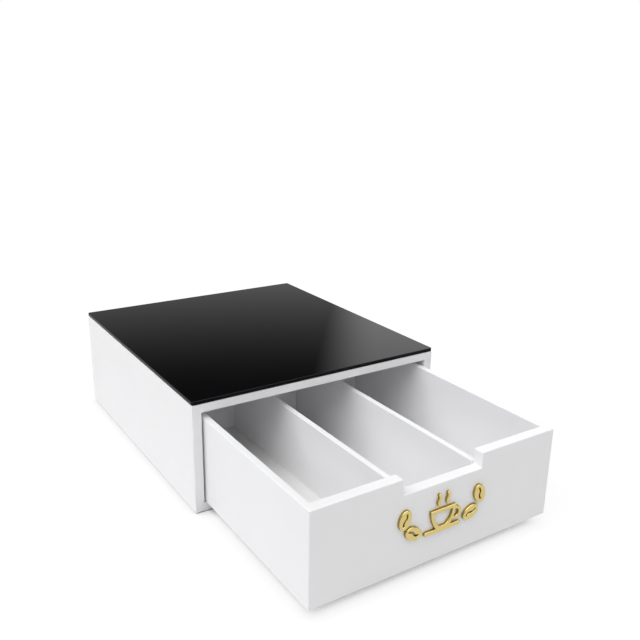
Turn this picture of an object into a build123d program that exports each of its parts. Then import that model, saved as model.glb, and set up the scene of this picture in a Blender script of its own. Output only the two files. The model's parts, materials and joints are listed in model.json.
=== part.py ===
"""Coffee pod drawer: a low lacquered case with a glass top and one sliding drawer.

Millimetres. X runs to the right, Y to the back, Z up. The pads stand on Z = 0, and the
origin is under the middle of the whole length, with the drawer as far out as drawer_open.
"""
from build123d import *
import os

# ---- Driving dimensions ----

# Case
case_width = 300
case_depth = 330
case_height = 117
case_side_board = 10
case_top_board = 9
back_board = 3
back_recess = 1
rabbet_lap = 5
edge_round = 0.8

# Glass top and the tape that holds it
glass_thickness = 4
glass_corner = 2
glass_arris = 0.5
tape_thickness = 0.3
tape_width = 12
tape_inset = 14

# Pads under the case
pad_diameter = 18
pad_thickness = 1
pad_inset = 18

# Dowels of the case and of the drawer
dowel_diameter = 5
case_dowel_length = 22
case_dowel_in_side = 6
case_dowel_inset = 40
case_dowels_per_joint = 3
drawer_dowel_diameter = 4
drawer_dowel_length = 20
drawer_dowel_in_face = 5
drawer_dowel_inset = 24

# Nails of the back panel
nail_diameter = 1.4
nail_length = 16
nail_head_diameter = 3.4
nail_head_thickness = 0.6
nail_corner_inset = 14
nails_per_long_edge = 4
nails_per_short_edge = 2

# Drawer
drawer_open = 192
drawer_side_board = 7
drawer_front_board = 10.5
drawer_bottom_board = 3
divider_board = 6
divider_drop = 12
divider_spacing = 86
divider_shift = 2.5
bottom_rise = 5
groove_depth = 4
tongue_depth = 3
tongue_drop = 12
notch_width = 90
notch_depth = 15.5
notch_corner = 1.2

# What the drawer runs on and stops against
glide_thickness = 0.4
glide_inset = 6
bumper_diameter = 10
bumper_thickness = 3
bumper_spacing = 190

# Gold cut-out on the drawer front
ornament_thickness = 3
ornament_drop = 35
ornament_round = 0.9
cup_width = 29
cup_foot_width = 13
cup_height = 21
cup_stroke = 3.6
cup_swell = 2.2
handle_z = 1.4
handle_radius = 6.6
handle_stroke = 3.2
saucer_length = 42
saucer_stroke = 4
steam_stroke = 3
steam_height = 12.6
steam_radius = 4.2
steam_spacing = 10
steam_gap = 2.4
bean_length = 19
bean_width = 13
bean_crease = 1.5
bean_crease_length = 12
bean_crease_radius = 5
low_bean_x = 33.2
low_bean_z = -4.5
low_bean_tilt = 25
high_bean_x = 43
high_bean_z = 11.5
high_bean_tilt = 105

# Clearances
joint_fit = 0.1
dowel_fit = 0.05
running_fit = 0.1
side_clearance = 2
top_clearance = 6.5
stop_gap = 0.3

# ---- Places worked out from them ----

total_length = case_depth + drawer_open + ornament_thickness
back_y = total_length / 2
front_y = back_y - case_depth
side_x = case_width / 2
inner_x = side_x - case_side_board

base_z = pad_thickness
case_top_z = base_z + case_height
floor_z = base_z + case_top_board
ceiling_z = case_top_z - case_top_board

rabbet_depth = back_board + back_recess
rabbet_y = back_y - rabbet_depth
rabbet_x = inner_x + rabbet_lap
rabbet_low_z = floor_z - rabbet_lap
rabbet_high_z = ceiling_z + rabbet_lap

drawer_x = inner_x - side_clearance
drawer_inner_x = drawer_x - drawer_side_board
drawer_length = case_depth - rabbet_depth - bumper_thickness - stop_gap
drawer_z = floor_z + glide_thickness + running_fit
drawer_top_z = ceiling_z - top_clearance
drawer_height = drawer_top_z - drawer_z
drawer_front_y = front_y - drawer_open
drawer_front_back_y = drawer_front_y + drawer_front_board
drawer_back_y = drawer_front_y + drawer_length
drawer_back_front_y = drawer_back_y - drawer_side_board

notch_z = drawer_top_z - notch_depth

bottom_z = drawer_z + bottom_rise
groove_z = bottom_z - joint_fit
groove_height = drawer_bottom_board + 2 * joint_fit
divider_low_z = bottom_z + drawer_bottom_board
divider_top_z = drawer_top_z - divider_drop
tongue_top_z = divider_top_z - tongue_drop
divider_left_x = divider_shift - divider_spacing / 2
divider_right_x = divider_shift + divider_spacing / 2
divider_xs = (divider_left_x, divider_right_x)

case_dowel_hole = dowel_diameter + 2 * dowel_fit
drawer_dowel_hole = drawer_dowel_diameter + 2 * dowel_fit
drawer_dowel_zs = (drawer_z + drawer_dowel_inset, drawer_top_z - drawer_dowel_inset)
drawer_side_middle_x = drawer_inner_x + drawer_side_board / 2
drawer_back_middle_y = drawer_back_front_y + drawer_side_board / 2


def spread(first, last, count):
    """Evenly spaced places from first to last."""
    step = (last - first) / max(count - 1, 1)
    return [first + step * i for i in range(count)]


dowel_ys = spread(front_y + case_dowel_inset, back_y - case_dowel_inset, case_dowels_per_joint)


def block(low, high, mode=Mode.ADD):
    """Add or cut a block between two opposite corners, in the open BuildPart."""
    size = [b - a for a, b in zip(low, high)]
    with Locations(low):
        Box(*size, align=Align.MIN, mode=mode)


def front_plane(y, z):
    """A plane that faces the front, with its own axes along X and Z."""
    return Plane(origin=(0, y, z), x_dir=(1, 0, 0), z_dir=(0, -1, 0))


def on_notch(vertex):
    return abs(vertex.X) < notch_width / 2 + joint_fit


def rod(start, direction, length, diameter, mode=Mode.ADD):
    """A round rod from a point along a direction, in the open BuildPart."""
    with Locations(Plane(origin=start, z_dir=direction).location):
        Cylinder(diameter / 2, length, align=(Align.CENTER, Align.CENTER, Align.MIN), mode=mode)


def nail_points():
    """Where the nails go through the back panel: the middle of the rabbet, all round."""
    x = inner_x + rabbet_lap / 2
    low = floor_z - rabbet_lap / 2
    high = ceiling_z + rabbet_lap / 2
    points = []
    for along in spread(-x + nail_corner_inset, x - nail_corner_inset, nails_per_long_edge):
        points += [(along, low), (along, high)]
    for up in spread(low + nail_corner_inset, high - nail_corner_inset, nails_per_short_edge):
        points += [(-x, up), (x, up)]
    return points


def drill_nail_holes():
    """Cut the nails' holes from the open BuildPart."""
    hole = nail_diameter + 2 * dowel_fit
    for x, z in nail_points():
        rod((x, back_y, z), (0, -1, 0), back_recess + nail_length + joint_fit, hole, Mode.SUBTRACT)


# ---- Case ----

with BuildPart() as left_side_panel:
    block((-side_x, front_y, base_z), (-inner_x, back_y, case_top_z))
    outer_edges = left_side_panel.faces().sort_by(Axis.X)[0].edges()
    front_ends = left_side_panel.faces().sort_by(Axis.Y)[0].edges().filter_by(Axis.X)
    fillet(outer_edges + front_ends, edge_round)
    # The inner front edge is rounded only where the opening bares it
    with BuildSketch(Plane.XY.offset(floor_z)):
        with Locations((-inner_x, front_y)):
            Rectangle(edge_round, edge_round, align=(Align.MAX, Align.MIN))
        with Locations((-inner_x - edge_round, front_y + edge_round)):
            Circle(edge_round, mode=Mode.SUBTRACT)
    extrude(amount=ceiling_z - floor_z, mode=Mode.SUBTRACT)
    block((-rabbet_x, rabbet_y, rabbet_low_z), (-inner_x, back_y, rabbet_high_z), Mode.SUBTRACT)
    for z in (floor_z - case_top_board / 2, ceiling_z + case_top_board / 2):
        for y in dowel_ys:
            depth = case_dowel_in_side + joint_fit
            rod((-inner_x, y, z), (-1, 0, 0), depth, case_dowel_hole, Mode.SUBTRACT)
    drill_nail_holes()

with BuildPart() as right_side_panel:
    mirror(left_side_panel.part, about=Plane.YZ)

with BuildPart() as top_panel:
    block((-inner_x, front_y, ceiling_z), (inner_x, back_y, case_top_z))
    front_edges = top_panel.faces().sort_by(Axis.Y)[0].edges().filter_by(Axis.X)
    fillet(front_edges, edge_round)
    block((-inner_x, rabbet_y, ceiling_z), (inner_x, back_y, rabbet_high_z), Mode.SUBTRACT)
    for end in (-1, 1):
        for y in dowel_ys:
            start = (end * inner_x, y, ceiling_z + case_top_board / 2)
            depth = case_dowel_length - case_dowel_in_side + joint_fit
            rod(start, (-end, 0, 0), depth, case_dowel_hole, Mode.SUBTRACT)
    drill_nail_holes()

with BuildPart() as bottom_panel:
    mirror(top_panel.part, about=Plane.XY.offset((base_z + case_top_z) / 2))

with BuildPart() as back_panel:
    reach_x = rabbet_x - joint_fit
    low = (-reach_x, rabbet_y, rabbet_low_z + joint_fit)
    high = (reach_x, rabbet_y + back_board, rabbet_high_z - joint_fit)
    block(low, high)
    drill_nail_holes()

with BuildPart() as back_panel_nails:
    for x, z in nail_points():
        under_head = (x, rabbet_y + back_board, z)
        rod(under_head, (0, -1, 0), nail_length, nail_diameter)
        rod(under_head, (0, 1, 0), nail_head_thickness, nail_head_diameter)

with BuildPart() as case_dowels:
    for end in (-1, 1):
        for z in (floor_z - case_top_board / 2, ceiling_z + case_top_board / 2):
            for y in dowel_ys:
                start = (end * (inner_x + case_dowel_in_side), y, z)
                rod(start, (-end, 0, 0), case_dowel_length, dowel_diameter)

with BuildPart() as glass_top:
    with BuildSketch(Plane.XY.offset(case_top_z + tape_thickness)):
        with Locations((0, (front_y + back_y) / 2)):
            RectangleRounded(case_width, case_depth, glass_corner)
    extrude(amount=glass_thickness)
    rims = glass_top.faces().filter_by(Axis.Z).edges()
    chamfer(rims, glass_arris)

with BuildPart() as glass_tape:
    with BuildSketch(Plane.XY.offset(case_top_z)):
        tape_reach = side_x - tape_inset - tape_width / 2
        tape_length = case_depth - 2 * tape_inset
        with Locations((-tape_reach, (front_y + back_y) / 2), (tape_reach, (front_y + back_y) / 2)):
            Rectangle(tape_width, tape_length)
        cross_length = 2 * (tape_reach - tape_width)
        for y in (front_y + tape_inset, back_y - tape_inset - tape_width):
            with Locations((0, y + tape_width / 2)):
                Rectangle(cross_length, tape_width)
    extrude(amount=tape_thickness)

with BuildPart() as foot_pads:
    pad_x = side_x - pad_inset
    pad_ys = (front_y + pad_inset, back_y - pad_inset)
    with BuildSketch():
        with Locations(*[(x, y) for x in (-pad_x, pad_x) for y in pad_ys]):
            Circle(pad_diameter / 2)
    extrude(amount=pad_thickness)

with BuildPart() as glide_strips:
    strip_length = rabbet_y - front_y - 2 * glide_inset
    with BuildSketch(Plane.XY.offset(floor_z)):
        for x in (-drawer_side_middle_x, drawer_side_middle_x):
            with Locations((x, front_y + glide_inset + strip_length / 2)):
                Rectangle(drawer_side_board, strip_length)
    extrude(amount=glide_thickness)

with BuildPart() as drawer_bumpers:
    for x in (-bumper_spacing / 2, bumper_spacing / 2):
        start = (x, rabbet_y, drawer_z + drawer_height / 2)
        rod(start, (0, -1, 0), bumper_thickness, bumper_diameter)

# ---- Drawer ----


def add_divider(x):
    """Add a divider with a tongue at each end, in the open BuildPart."""
    left = x - divider_board / 2
    right = x + divider_board / 2
    block((left, drawer_front_back_y, divider_low_z), (right, drawer_back_front_y, divider_top_z))
    fillet(faces().sort_by(Axis.Z)[-1].edges().filter_by(Axis.Y), edge_round)
    reach = tongue_depth - joint_fit
    low = (left, drawer_front_back_y - reach, divider_low_z)
    high = (right, drawer_back_front_y + reach, tongue_top_z)
    block(low, high)


with BuildPart() as drawer_front:
    with BuildSketch(front_plane(drawer_front_back_y, drawer_z)) as outline:
        Rectangle(2 * drawer_x, drawer_height, align=(Align.CENTER, Align.MIN))
        with Locations((0, drawer_height)):
            Rectangle(notch_width, 2 * notch_depth, mode=Mode.SUBTRACT)
        ends = outline.vertices().group_by(Axis.X)
        fillet(ends[0] + ends[-1], edge_round)
        fillet(outline.vertices().filter_by(on_notch), notch_corner)
    extrude(amount=drawer_front_board)
    fillet(drawer_front.faces().sort_by(Axis.Y)[0].edges(), edge_round)
    # Groove for the bottom, slots for the dividers' tongues and holes for the sides' dowels
    groove_reach = drawer_inner_x + groove_depth
    low = (-groove_reach, drawer_front_back_y - groove_depth, groove_z)
    high = (groove_reach, drawer_front_back_y, groove_z + groove_height)
    block(low, high, Mode.SUBTRACT)
    slot_half = divider_board / 2 + joint_fit
    for x in divider_xs:
        low = (x - slot_half, drawer_front_back_y - tongue_depth, divider_low_z)
        high = (x + slot_half, drawer_front_back_y, tongue_top_z + joint_fit)
        block(low, high, Mode.SUBTRACT)
    for x in (-drawer_side_middle_x, drawer_side_middle_x):
        for z in drawer_dowel_zs:
            start = (x, drawer_front_back_y, z)
            depth = drawer_dowel_in_face + joint_fit
            rod(start, (0, -1, 0), depth, drawer_dowel_hole, Mode.SUBTRACT)

with BuildPart() as drawer_left_side:
    low = (-drawer_x, drawer_front_back_y, drawer_z)
    high = (-drawer_inner_x, drawer_back_y, drawer_top_z)
    block(low, high)
    fillet(drawer_left_side.faces().sort_by(Axis.Z)[-1].edges().filter_by(Axis.Y), edge_round)
    outer_low = drawer_left_side.edges().filter_by(Axis.Y).group_by(Axis.Z)[0].sort_by(Axis.X)[0]
    fillet(outer_low, edge_round)
    low = (-drawer_inner_x - groove_depth, drawer_front_back_y, groove_z)
    high = (-drawer_inner_x, drawer_back_y, groove_z + groove_height)
    block(low, high, Mode.SUBTRACT)
    for z in drawer_dowel_zs:
        start = (-drawer_side_middle_x, drawer_front_back_y, z)
        depth = drawer_dowel_length - drawer_dowel_in_face + joint_fit
        rod(start, (0, 1, 0), depth, drawer_dowel_hole, Mode.SUBTRACT)
        start = (-drawer_inner_x, drawer_back_middle_y, z)
        depth = drawer_dowel_in_face + joint_fit
        rod(start, (-1, 0, 0), depth, drawer_dowel_hole, Mode.SUBTRACT)

with BuildPart() as drawer_right_side:
    mirror(drawer_left_side.part, about=Plane.YZ)

with BuildPart() as drawer_back:
    low = (-drawer_inner_x, drawer_back_front_y, drawer_z)
    high = (drawer_inner_x, drawer_back_y, drawer_top_z)
    block(low, high)
    fillet(drawer_back.faces().sort_by(Axis.Z)[-1].edges().filter_by(Axis.X), edge_round)
    low = (-drawer_inner_x, drawer_back_front_y, groove_z)
    high = (drawer_inner_x, drawer_back_front_y + groove_depth, groove_z + groove_height)
    block(low, high, Mode.SUBTRACT)
    slot_half = divider_board / 2 + joint_fit
    for x in divider_xs:
        low = (x - slot_half, drawer_back_front_y, divider_low_z)
        high = (x + slot_half, drawer_back_front_y + tongue_depth, tongue_top_z + joint_fit)
        block(low, high, Mode.SUBTRACT)
    for end in (-1, 1):
        for z in drawer_dowel_zs:
            start = (end * drawer_inner_x, drawer_back_middle_y, z)
            depth = drawer_dowel_length - drawer_dowel_in_face + joint_fit
            rod(start, (-end, 0, 0), depth, drawer_dowel_hole, Mode.SUBTRACT)

with BuildPart() as drawer_bottom:
    reach = groove_depth - joint_fit
    low = (-drawer_inner_x - reach, drawer_front_back_y - reach, bottom_z)
    high = (drawer_inner_x + reach, drawer_back_front_y + reach, divider_low_z)
    block(low, high)

with BuildPart() as divider_left:
    add_divider(divider_left_x)

with BuildPart() as divider_right:
    add_divider(divider_right_x)

with BuildPart() as front_corner_dowels:
    for x in (-drawer_side_middle_x, drawer_side_middle_x):
        for z in drawer_dowel_zs:
            start = (x, drawer_front_back_y - drawer_dowel_in_face, z)
            rod(start, (0, 1, 0), drawer_dowel_length, drawer_dowel_diameter)

with BuildPart() as back_corner_dowels:
    for end in (-1, 1):
        for z in drawer_dowel_zs:
            start = (end * (drawer_inner_x + drawer_dowel_in_face), drawer_back_middle_y, z)
            rod(start, (-end, 0, 0), drawer_dowel_length, drawer_dowel_diameter)

# ---- Gold cut-out: a cup on its saucer, two curls of steam and four beans ----

rim_z = cup_height / 2
ornament_plane = front_plane(drawer_front_y, notch_z - ornament_drop)


def cup_outline(inset):
    """The cup's side view in the open BuildSketch's plane, drawn in by an inset."""
    rim_x = cup_width / 2 - inset
    foot_x = cup_foot_width / 2 - inset
    top = rim_z - inset
    foot = -rim_z + inset
    middle = ((rim_x + foot_x) / 2 + cup_swell, (top + foot) / 2)
    with BuildLine() as outline:
        Line((-rim_x, top), (rim_x, top))
        ThreePointArc((rim_x, top), middle, (foot_x, foot))
        Line((foot_x, foot), (-foot_x, foot))
        ThreePointArc((-foot_x, foot), (-middle[0], middle[1]), (-rim_x, top))
    make_face(outline.edges())


def round_front(piece):
    """Round the rims of a cut-out's front face."""
    fillet(piece.faces().group_by(Axis.Y)[0].edges(), ornament_round)


with BuildPart() as ornament_cup:
    with BuildSketch(ornament_plane):
        with Locations((cup_width / 2, handle_z)):
            Circle(handle_radius)
            Circle(handle_radius - handle_stroke, mode=Mode.SUBTRACT)
        cup_outline(0)
        with Locations((0, -rim_z)):
            SlotOverall(saucer_length, saucer_stroke)
    extrude(amount=ornament_thickness)
    with BuildSketch(ornament_plane):
        cup_outline(cup_stroke)
    extrude(amount=ornament_thickness, mode=Mode.SUBTRACT)
    round_front(ornament_cup)

with BuildSketch() as curl:
    curl_run = steam_height - steam_stroke
    with BuildLine() as curl_line:
        RadiusArc((0, 0), (0, curl_run / 2), steam_radius)
        RadiusArc((0, curl_run / 2), (0, curl_run), -steam_radius)
    trace(curl_line.edges(), line_width=steam_stroke)
    with Locations((0, 0), (0, curl_run)):
        Circle(steam_stroke / 2)

with BuildPart() as ornament_steam:
    with BuildSketch(ornament_plane):
        foot = rim_z + steam_gap + steam_stroke / 2
        with Locations((-steam_spacing / 2, foot), (steam_spacing / 2, foot)):
            add(curl.sketch)
    extrude(amount=ornament_thickness)
    round_front(ornament_steam)

with BuildSketch() as bean:
    Ellipse(bean_length / 2, bean_width / 2)
    with BuildLine() as crease_line:
        RadiusArc((-bean_crease_length / 2, 0), (0, 0), bean_crease_radius)
        RadiusArc((0, 0), (bean_crease_length / 2, 0), -bean_crease_radius)
    trace(crease_line.edges(), line_width=bean_crease, mode=Mode.SUBTRACT)

with BuildPart() as ornament_beans:
    with BuildSketch(ornament_plane):
        for side in (-1, 1):
            with Locations(
                Location((side * low_bean_x, low_bean_z), side * low_bean_tilt),
                Location((side * high_bean_x, high_bean_z), side * high_bean_tilt),
            ):
                add(bean.sketch)
    extrude(amount=ornament_thickness)
    round_front(ornament_beans)

pieces = {
    "left_side_panel": left_side_panel,
    "right_side_panel": right_side_panel,
    "top_panel": top_panel,
    "bottom_panel": bottom_panel,
    "back_panel": back_panel,
    "back_panel_nails": back_panel_nails,
    "case_dowels": case_dowels,
    "glass_top": glass_top,
    "glass_tape": glass_tape,
    "foot_pads": foot_pads,
    "glide_strips": glide_strips,
    "drawer_bumpers": drawer_bumpers,
    "drawer_front": drawer_front,
    "drawer_left_side": drawer_left_side,
    "drawer_right_side": drawer_right_side,
    "drawer_back": drawer_back,
    "drawer_bottom": drawer_bottom,
    "divider_left": divider_left,
    "divider_right": divider_right,
    "front_corner_dowels": front_corner_dowels,
    "back_corner_dowels": back_corner_dowels,
    "ornament_cup": ornament_cup,
    "ornament_steam": ornament_steam,
    "ornament_beans": ornament_beans,
}

os.makedirs("parts", exist_ok=True)
for name, piece in pieces.items():
    piece.part.label = name
    export_step(piece.part, f"parts/{name}.step")
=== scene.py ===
"""Looks of the coffee pod drawer: finishes, small round pieces, floor, light and camera.

Metres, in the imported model's frame: X to the right, Y to the back, Z up, pads on Z = 0.
"""
import json
import math
import bmesh
import bpy
from mathutils import Matrix, Vector


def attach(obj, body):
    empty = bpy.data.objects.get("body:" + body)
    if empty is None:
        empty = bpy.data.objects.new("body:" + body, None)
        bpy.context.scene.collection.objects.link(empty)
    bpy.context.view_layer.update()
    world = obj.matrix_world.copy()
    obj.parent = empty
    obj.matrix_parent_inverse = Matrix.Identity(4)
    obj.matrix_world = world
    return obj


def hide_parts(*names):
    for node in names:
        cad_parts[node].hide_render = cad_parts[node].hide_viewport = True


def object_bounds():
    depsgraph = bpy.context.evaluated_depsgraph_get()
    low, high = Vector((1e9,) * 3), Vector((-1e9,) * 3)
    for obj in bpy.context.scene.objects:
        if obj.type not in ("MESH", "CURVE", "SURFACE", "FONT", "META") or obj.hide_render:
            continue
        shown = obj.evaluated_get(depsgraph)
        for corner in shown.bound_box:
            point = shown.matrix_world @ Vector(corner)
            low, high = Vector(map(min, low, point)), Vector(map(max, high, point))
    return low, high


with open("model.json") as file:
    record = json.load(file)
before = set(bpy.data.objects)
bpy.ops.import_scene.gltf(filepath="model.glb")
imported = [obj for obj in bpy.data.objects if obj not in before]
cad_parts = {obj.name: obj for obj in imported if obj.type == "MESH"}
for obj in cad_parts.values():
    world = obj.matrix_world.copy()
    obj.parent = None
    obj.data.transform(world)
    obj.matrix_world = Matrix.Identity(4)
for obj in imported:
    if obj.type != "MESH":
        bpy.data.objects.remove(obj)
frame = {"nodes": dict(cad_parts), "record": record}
cad_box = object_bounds()
nodes = frame["nodes"]
MM = 0.001

# ---- Node helpers ----


def plug(tree, socket, value):
    """Set a socket to a number or a colour, or link an output to it."""
    if isinstance(value, bpy.types.NodeSocket):
        tree.links.new(value, socket)
    else:
        socket.default_value = value


def add(tree, kind, settings=None, **inputs):
    """A new node of that kind, with its settings and its inputs by name."""
    node = tree.nodes.new("ShaderNode" + kind)
    for name, value in (settings or {}).items():
        setattr(node, name, value)
    for name, value in inputs.items():
        plug(tree, node.inputs[name.replace("_", " ")], value)
    return node


def maths(tree, operation, *values):
    """The result of a Math node on numbers or outputs."""
    node = add(tree, "Math", {"operation": operation})
    for socket, value in zip(node.inputs, values):
        plug(tree, socket, value)
    return node.outputs[0]


def between(tree, value, low, high, to_low=0.0, to_high=1.0):
    """The value eased from one range into another."""
    limits = {"From_Min": low, "From_Max": high, "To_Min": to_low, "To_Max": to_high}
    node = add(tree, "MapRange", {"interpolation_type": "SMOOTHSTEP"}, Value=value, **limits)
    return node.outputs["Result"]


def mix(tree, factor, first, second):
    """A colour between two colours."""
    node = add(tree, "Mix", {"data_type": "RGBA"})
    plug(tree, node.inputs["Factor"], factor)
    for socket, value in zip([s for s in node.inputs if s.type == "RGBA"], (first, second)):
        plug(tree, socket, value)
    return next(s for s in node.outputs if s.type == "RGBA")


def noise(tree, size, detail=3.0, roughness=0.5, stretch=(1, 1, 1)):
    """Noise with features of about that size, fixed to the piece. Stretch thins it along an axis."""
    place = add(tree, "TexCoord").outputs["Object"]
    if stretch != (1, 1, 1):
        place = add(tree, "Mapping", Vector=place, Scale=stretch).outputs[0]
    node = add(tree, "TexNoise", Vector=place, Scale=1 / size, Detail=detail, Roughness=roughness)
    return node.outputs[0]


def facing(tree, axis, low=0.7, high=0.9):
    """How far the surface faces along "-Y", or up or down along "|Z", fixed to the piece."""
    sign, letter = axis
    normal = add(tree, "TexCoord").outputs["Normal"]
    part = add(tree, "SeparateXYZ", Vector=normal).outputs[letter]
    if sign == "-":
        part = maths(tree, "MULTIPLY", part, -1.0)
    else:
        part = maths(tree, "ABSOLUTE", part)
    return between(tree, part, low, high)


def relief(tree, *layers):
    """Bumps on each other, each a (height, depth in metres) pair."""
    normal = None
    for height, depth in layers:
        node = add(tree, "Bump", Height=height, Distance=depth, Strength=1.0)
        if normal:
            tree.links.new(normal, node.inputs["Normal"])
        normal = node.outputs["Normal"]
    return normal


def new_material(name):
    """An empty material with its output node."""
    material = bpy.data.materials.new(name)
    material.use_nodes = True
    material.node_tree.nodes.clear()
    return material, material.node_tree, add(material.node_tree, "OutputMaterial")


def finish(name, build):
    """A material whose surface is a Principled BSDF, with the inputs that build gives for its tree."""
    material, tree, output = new_material(name)
    shader = add(tree, "BsdfPrincipled")
    for socket, value in build(tree).items():
        plug(tree, shader.inputs[socket], value)
    tree.links.new(shader.outputs[0], output.inputs["Surface"])
    return material


# ---- Finishes ----


def white_lacquer(tree):
    """Sprayed satin lacquer: a faint orange peel, and a coarser grain on the boards' front edges."""
    dark, light = (0.842, 0.842, 0.855, 1), (0.872, 0.872, 0.884, 1)
    smooth, dull = 0.3, 0.4
    tone_size, gloss_size = 60 * MM, 18 * MM
    wave_size, peel_size, grain_size = 28 * MM, 1.6 * MM, 0.7 * MM
    wave_depth, peel_depth, grain_depth = 0.05 * MM, 0.008 * MM, 0.01 * MM
    wave = noise(tree, wave_size, detail=1.0)
    peel = noise(tree, peel_size, detail=1.0)
    grain = maths(tree, "MULTIPLY", noise(tree, grain_size, detail=2.0), facing(tree, "-Y"))
    return {
        "Base Color": mix(tree, noise(tree, tone_size), dark, light),
        "Roughness": between(tree, noise(tree, gloss_size), 0.3, 0.7, smooth, dull),
        "Normal": relief(tree, (wave, wave_depth), (peel, peel_depth), (grain, grain_depth)),
    }


def white_panel(tree):
    """Hardboard under a thin white coat."""
    dark, light = (0.80, 0.80, 0.79, 1), (0.84, 0.84, 0.83, 1)
    tone_size, felt_size, felt_depth = 35 * MM, 0.9 * MM, 0.03 * MM
    felt = noise(tree, felt_size, detail=4.0, roughness=0.65)
    return {
        "Base Color": mix(tree, noise(tree, tone_size, detail=5.0), dark, light),
        "Roughness": 0.5,
        "Normal": relief(tree, (felt, felt_depth)),
    }


def black_glass(tree):
    """Polished black glass, a little smudged, with a ground arris round its faces."""
    polished, ground = (0.003, 0.003, 0.0035, 1), (0.007, 0.007, 0.008, 1)
    smudge_size, clean, smudged, ground_roughness = 45 * MM, 0.03, 0.075, 0.3
    arris = maths(tree, "MULTIPLY", facing(tree, "|Z", 0.2, 0.4), facing(tree, "|Z", 0.97, 0.85))
    smudges = between(tree, noise(tree, smudge_size, detail=4.0), 0.45, 0.75, clean, smudged)
    ground_part = maths(tree, "MULTIPLY", arris, ground_roughness)
    return {
        "Base Color": mix(tree, arris, polished, ground),
        "Roughness": maths(tree, "MAXIMUM", smudges, ground_part),
        "Specular IOR Level": 0.08,
    }


def gold(tree):
    """Gold film on a cut plate: bright faces, darker cut walls."""
    face, cut = (0.65, 0.52, 0.20, 1), (0.40, 0.30, 0.09, 1)
    face_roughness, cut_roughness_more = 0.22, 0.15
    brush_size, brush_depth = 0.5 * MM, 0.002 * MM
    wall = facing(tree, "-Y", 0.6, 0.3)
    brushed = noise(tree, brush_size, stretch=(0.08, 1, 1))
    wall_part = maths(tree, "MULTIPLY", wall, cut_roughness_more)
    return {
        "Base Color": mix(tree, wall, face, cut),
        "Metallic": 1.0,
        "Roughness": maths(tree, "ADD", wall_part, face_roughness),
        "Normal": relief(tree, (brushed, brush_depth)),
    }


def steel(tree):
    dark, light = (0.55, 0.56, 0.58, 1), (0.68, 0.69, 0.71, 1)
    spangle_size = 1 * MM
    tone = mix(tree, noise(tree, spangle_size), dark, light)
    return {"Base Color": tone, "Metallic": 1.0, "Roughness": 0.32}


def beech(tree):
    """Bare turned beech with short darker flecks along the grain."""
    wood, fleck_tone = (0.60, 0.38, 0.20, 1), (0.45, 0.26, 0.12, 1)
    fleck_size = 1.2 * MM
    flecks = noise(tree, fleck_size, detail=2.0, stretch=(1, 0.15, 1))
    tone = mix(tree, between(tree, flecks, 0.45, 0.7), wood, fleck_tone)
    return {"Base Color": tone, "Roughness": 0.6}


def dark_rubber(tree):
    grit_size, grit_depth = 0.35 * MM, 0.03 * MM
    grit = relief(tree, (noise(tree, grit_size, detail=2.0), grit_depth))
    return {"Base Color": (0.02, 0.02, 0.02, 1), "Roughness": 0.8, "Normal": grit}


def white_film(tree):
    weave_size, weave_depth = 0.6 * MM, 0.01 * MM
    weave = relief(tree, (noise(tree, weave_size), weave_depth))
    return {"Base Color": (0.78, 0.78, 0.76, 1), "Roughness": 0.45, "Normal": weave}


builders = {
    "white_lacquer": white_lacquer,
    "white_panel": white_panel,
    "black_glass": black_glass,
    "gold_acrylic": gold,
    "nail_steel": steel,
    "beech": beech,
    "dark_rubber": dark_rubber,
    "white_tape": white_film,
    "glide_film": white_film,
}
finishes = {name: finish(name, build) for name, build in builders.items()}
for subpart in frame["record"]["subparts"]:
    for material_slot in nodes[subpart["node"]].material_slots:
        material_slot.material = finishes[subpart["material_slot"]]

# ---- Small round pieces in place of the plain ones ----

weld_distance = 0.001 * MM


def loose_boxes(node):
    """The (low, high) corners of each separate solid in a node."""
    mesh = bmesh.new()
    mesh.from_mesh(nodes[node].data)
    bmesh.ops.remove_doubles(mesh, verts=mesh.verts, dist=weld_distance)
    left = set(mesh.verts)
    boxes = []
    while left:
        open_ends = [left.pop()]
        island = []
        while open_ends:
            vertex = open_ends.pop()
            island.append(vertex.co.copy())
            near = {edge.other_vert(vertex) for edge in vertex.link_edges} & left
            left -= near
            open_ends += near
        boxes.append([Vector([pick(v[i] for v in island) for i in range(3)]) for pick in (min, max)])
    mesh.free()
    return sorted(boxes, key=lambda box: tuple(box[0]))


def add_turned(mesh, foot, spin, profile, sides):
    """One closed turned shape in a mesh, from (radius, height) pairs."""
    rings = []
    for radius, height in profile:
        ring = []
        for i in range(sides):
            angle = 2 * math.pi * i / sides
            around = Vector((radius * math.cos(angle), radius * math.sin(angle), height))
            ring.append(mesh.verts.new(foot + spin @ around))
        rings.append(ring)
    for lower, upper in zip(rings, rings[1:]):
        for i in range(sides):
            j = (i + 1) % sides
            mesh.faces.new((lower[i], lower[j], upper[j], upper[i])).smooth = True
    mesh.faces.new(rings[0][::-1])
    mesh.faces.new(rings[-1])


def turned_pieces(name, node, body, slot, profile, start, towards, sides=40):
    """One piece with a turned shape at each solid of a node, which it replaces.

    The profile is (radius, height) pairs, from start(low, high) up along towards.
    """
    spin = Vector(towards).to_track_quat("Z", "Y")
    mesh = bmesh.new()
    for low, high in loose_boxes(node):
        add_turned(mesh, start(low, high), spin, profile, sides)
    data = bpy.data.meshes.new(name)
    mesh.to_mesh(data)
    mesh.free()
    data.materials.append(finishes[slot])
    piece = bpy.data.objects.new(name, data)
    bpy.context.scene.collection.objects.link(piece)
    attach(piece, body)
    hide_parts(node)


def quarter(radius, height, steps=6):
    """The (outward, upward) pairs of a quarter ellipse, from its foot to its top."""
    turns = [math.pi / 2 * i / steps for i in range(steps + 1)]
    return [(radius * math.cos(turn), height * math.sin(turn)) for turn in turns]


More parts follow.
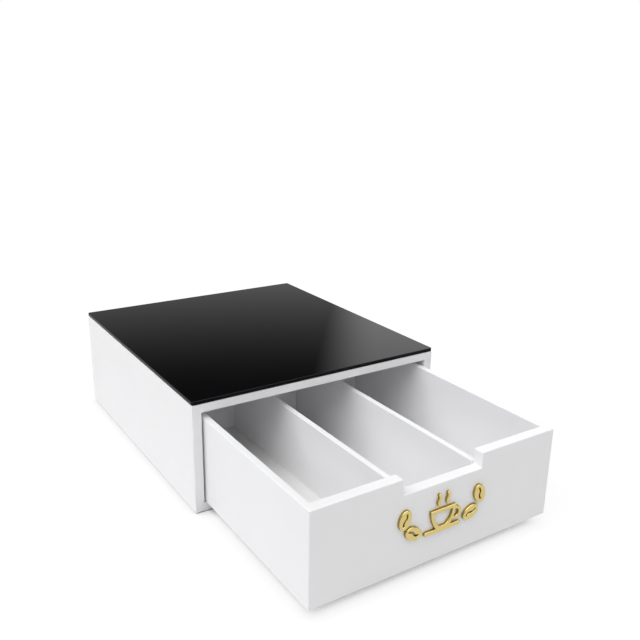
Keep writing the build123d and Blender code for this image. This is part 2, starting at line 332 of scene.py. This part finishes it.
# Nails: a blunt tip, a shank and a domed head with a low rim
nail_shank = 0.7 * MM
nail_point = 0.07 * MM
nail_tip = 2 * MM
nail_head = 1.7 * MM
nail_head_thickness = 0.6 * MM
nail_rim = 0.25 * MM
nail_crown = 0.595 * MM
nail_low, nail_high = loose_boxes("back_panel_nails")[0]
under_head = nail_high.y - nail_low.y - nail_head_thickness
nail_profile = [
    (nail_point, 0), (nail_shank, nail_tip), (nail_shank, under_head), (nail_head, under_head)
] + [
    (nail_crown + out, under_head + nail_rim + up)
    for out, up in quarter(nail_head - nail_crown, nail_head_thickness - nail_rim)
]
turned_pieces(
    "back_nails", "back_panel_nails", "case", "nail_steel", nail_profile,
    lambda low, high: Vector(((low.x + high.x) / 2, low.y, (low.z + high.z) / 2)), (0, 1, 0),
)

# Pads: flat discs, rounded where they meet the floor
pad_radius = 9 * MM
pad_thickness = 1 * MM
pad_round = 0.6 * MM
pad_profile = [
    (pad_radius - pad_round + out, pad_round - up)
    for out, up in reversed(quarter(pad_round, pad_round))
] + [(pad_radius, pad_thickness)]
turned_pieces(
    "foot_discs", "foot_pads", "case", "dark_rubber", pad_profile,
    lambda low, high: Vector(((low.x + high.x) / 2, (low.y + high.y) / 2, low.z)), (0, 0, 1),
)

# Bumpers: domes that point to the front
bumper_radius = 5 * MM
bumper_thickness = 3 * MM
bumper_wall = 0.8 * MM
bumper_tip = 1 * MM
bumper_profile = [(bumper_radius, 0)] + [
    (bumper_tip + out, bumper_wall + up)
    for out, up in quarter(bumper_radius - bumper_tip, bumper_thickness - bumper_wall)
]
turned_pieces(
    "soft_bumpers", "drawer_bumpers", "case", "dark_rubber", bumper_profile,
    lambda low, high: Vector(((low.x + high.x) / 2, high.y, (low.z + high.z) / 2)), (0, -1, 0),
)

# ---- Floor, world and lamps ----

floor_albedo = 0.7
floor_size = 40
shadow_depth = 0.15
floor_lift = 1.06
# A painted shade close to the object, on the stretch of floor that the open drawer reaches too
contact_margin = 0.1
# Painted shade from ambient occlusion, a soft rim and a thin dark line: rays, reach in metres, depth,
# and the power that keeps it to dark places
painted_contact_shades = ((8, 0.018, 0.6, 2), (8, 0.15, 3.0, 14))
ambient = 0.3
lamp_spread = math.radians(65)
key_strength = 2.4
key_towards = Vector((-0.58, -0.06, 0.81))
fill_strength = 0.68
fill_towards = Vector((0.40, -0.60, 0.69))
# What gloss sees of the world: sines of elevations, and headings in degrees to the right of Y
dim_glow = 0.02
glow_fades = (0.16, 0.40)
top_glow = 2.4
top_fades = (0.6, 0.75)
screen_glow = 1.6
screen_starts = (32, 38)
screen_ends = (100, 80)
screen_tops = (0.75, 0.6)


def seen(tree):
    """1 for rays from the camera, and for those that reflections and clear pieces pass on."""
    path = add(tree, "LightPath")
    direct = maths(tree, "MAXIMUM", path.outputs["Is Camera Ray"], path.outputs["Is Glossy Ray"])
    return maths(tree, "MAXIMUM", direct, path.outputs["Is Transmission Ray"])


def lift_with_painted_shade(tree):
    """The floor's lift to white, less where painted shade darkens it close to the object."""
    lift = floor_lift
    for rays, reach, depth, power in painted_contact_shades:
        sky = add(tree, "AmbientOcclusion", {"samples": rays}, Distance=reach).outputs["AO"]
        shade = maths(tree, "POWER", maths(tree, "SUBTRACT", 1.0, sky), power)
        # Painted shade: the floor's glow falls where ambient occlusion finds the object close
        lift = maths(tree, "MULTIPLY_ADD", shade, -depth * floor_lift, lift)
    return maths(tree, "MAXIMUM", lift, 0.0)


def floor_finish(name, near):
    """Pale and plain. To the camera it is lifted to white, and keeps the shadows; near the object it
    also carries a painted shade.
    """
    material, tree, output = new_material(name)
    lift = lift_with_painted_shade(tree) if near else floor_lift
    plain = add(tree, "BsdfDiffuse", Color=(floor_albedo, floor_albedo, floor_albedo, 1))
    white = add(tree, "Emission", Color=(1, 1, 1, 1), Strength=lift)
    both = add(tree, "MixShader")
    tree.links.new(maths(tree, "MULTIPLY", seen(tree), 1 - shadow_depth), both.inputs[0])
    tree.links.new(plain.outputs[0], both.inputs[1])
    tree.links.new(white.outputs[0], both.inputs[2])
    tree.links.new(both.outputs[0], output.inputs["Surface"])
    return material


def make_floor():
    """A floor of nine faces, with the painted contact shade on the middle one."""
    xs, ys = (
        (-floor_size, cad_box[0][i] - contact_margin, cad_box[1][i] + contact_margin, floor_size)
        for i in (0, 1)
    )
    count = len(xs)
    corners = [(x, y, 0) for y in ys for x in xs]
    starts = [column + count * row for row in range(count - 1) for column in range(count - 1)]
    faces = [(i, i + 1, i + 1 + count, i + count) for i in starts]
    mesh = bpy.data.meshes.new("floor")
    mesh.from_pydata(corners, [], faces)
    mesh.materials.append(floor_finish("floor", False))
    mesh.materials.append(floor_finish("floor_near", True))
    mesh.polygons[len(faces) // 2].material_index = 1
    floor = bpy.data.objects.new("floor", mesh)
    bpy.context.scene.collection.objects.link(floor)


def studio_glow(tree):
    """What gloss reflects: white low down, brighter overhead, dim between, a screen to the right."""
    way = add(tree, "SeparateXYZ", Vector=add(tree, "TexCoord").outputs["Generated"])
    low_glow = between(tree, way.outputs["Z"], *glow_fades, 1.0, dim_glow)
    heading = maths(tree, "ARCTAN2", way.outputs["X"], way.outputs["Y"])
    near_side = between(tree, heading, *(math.radians(turn) for turn in screen_starts))
    far_side = between(tree, heading, *(math.radians(turn) for turn in screen_ends))
    screen = maths(tree, "MULTIPLY", near_side, far_side)
    screen = maths(tree, "MULTIPLY", screen, between(tree, way.outputs["Z"], *screen_tops))
    overhead = between(tree, way.outputs["Z"], *top_fades, 0.0, top_glow)
    white = maths(tree, "MAXIMUM", low_glow, overhead)
    return maths(tree, "MAXIMUM", white, maths(tree, "MULTIPLY", screen, screen_glow))


def make_world():
    """An even ambient light, white to the camera, with the studio's glow for gloss."""
    world = bpy.data.worlds.new("studio")
    world.use_nodes = True
    tree = world.node_tree
    tree.nodes.clear()
    path = add(tree, "LightPath")
    lit = mix(tree, seen(tree), (ambient, ambient, ambient, 1), (1, 1, 1, 1))
    strength = mix(tree, path.outputs["Is Glossy Ray"], lit, studio_glow(tree))
    light = add(tree, "Background", Color=(1, 1, 1, 1), Strength=strength)
    output = add(tree, "OutputWorld")
    tree.links.new(light.outputs[0], output.inputs["Surface"])
    bpy.context.scene.world = world


def make_lamp(name, strength, towards):
    """A broad soft lamp, far away in that direction."""
    lamp = bpy.data.lights.new(name, "SUN")
    lamp.energy = strength
    lamp.angle = lamp_spread
    piece = bpy.data.objects.new(name, lamp)
    piece.rotation_mode = "QUATERNION"
    piece.rotation_quaternion = towards.to_track_quat("Z", "Y")
    bpy.context.scene.collection.objects.link(piece)


# ---- Camera ----

camera_at = Vector((-0.4099, -0.6854, 0.4203))
camera_azimuth = math.radians(-33.20)
camera_elevation = math.radians(17.93)
camera_roll = math.radians(0.97)
camera_lens = 42.52
camera_near = 0.01
sensor_width = 36


def make_camera():
    """The camera, turned by azimuth, elevation and roll about its own place."""
    level = math.cos(camera_elevation)
    back = Vector((
        math.sin(camera_azimuth) * level,
        -math.cos(camera_azimuth) * level,
        math.sin(camera_elevation),
    ))
    right = Vector((0, 0, 1)).cross(back).normalized()
    turned = Matrix((right, back.cross(right), back)).transposed() @ Matrix.Rotation(camera_roll, 3, "Z")
    lens = bpy.data.cameras.new("camera")
    lens.sensor_width = sensor_width
    lens.lens = camera_lens
    lens.clip_start = camera_near
    camera = bpy.data.objects.new("camera", lens)
    camera.matrix_world = Matrix.Translation(camera_at) @ turned.to_4x4()
    bpy.context.scene.collection.objects.link(camera)
    bpy.context.scene.camera = camera


make_floor()
make_world()
make_lamp("key", key_strength, key_towards)
make_lamp("fill", fill_strength, fill_towards)
make_camera()
bpy.context.scene.view_settings.view_transform = "Standard"
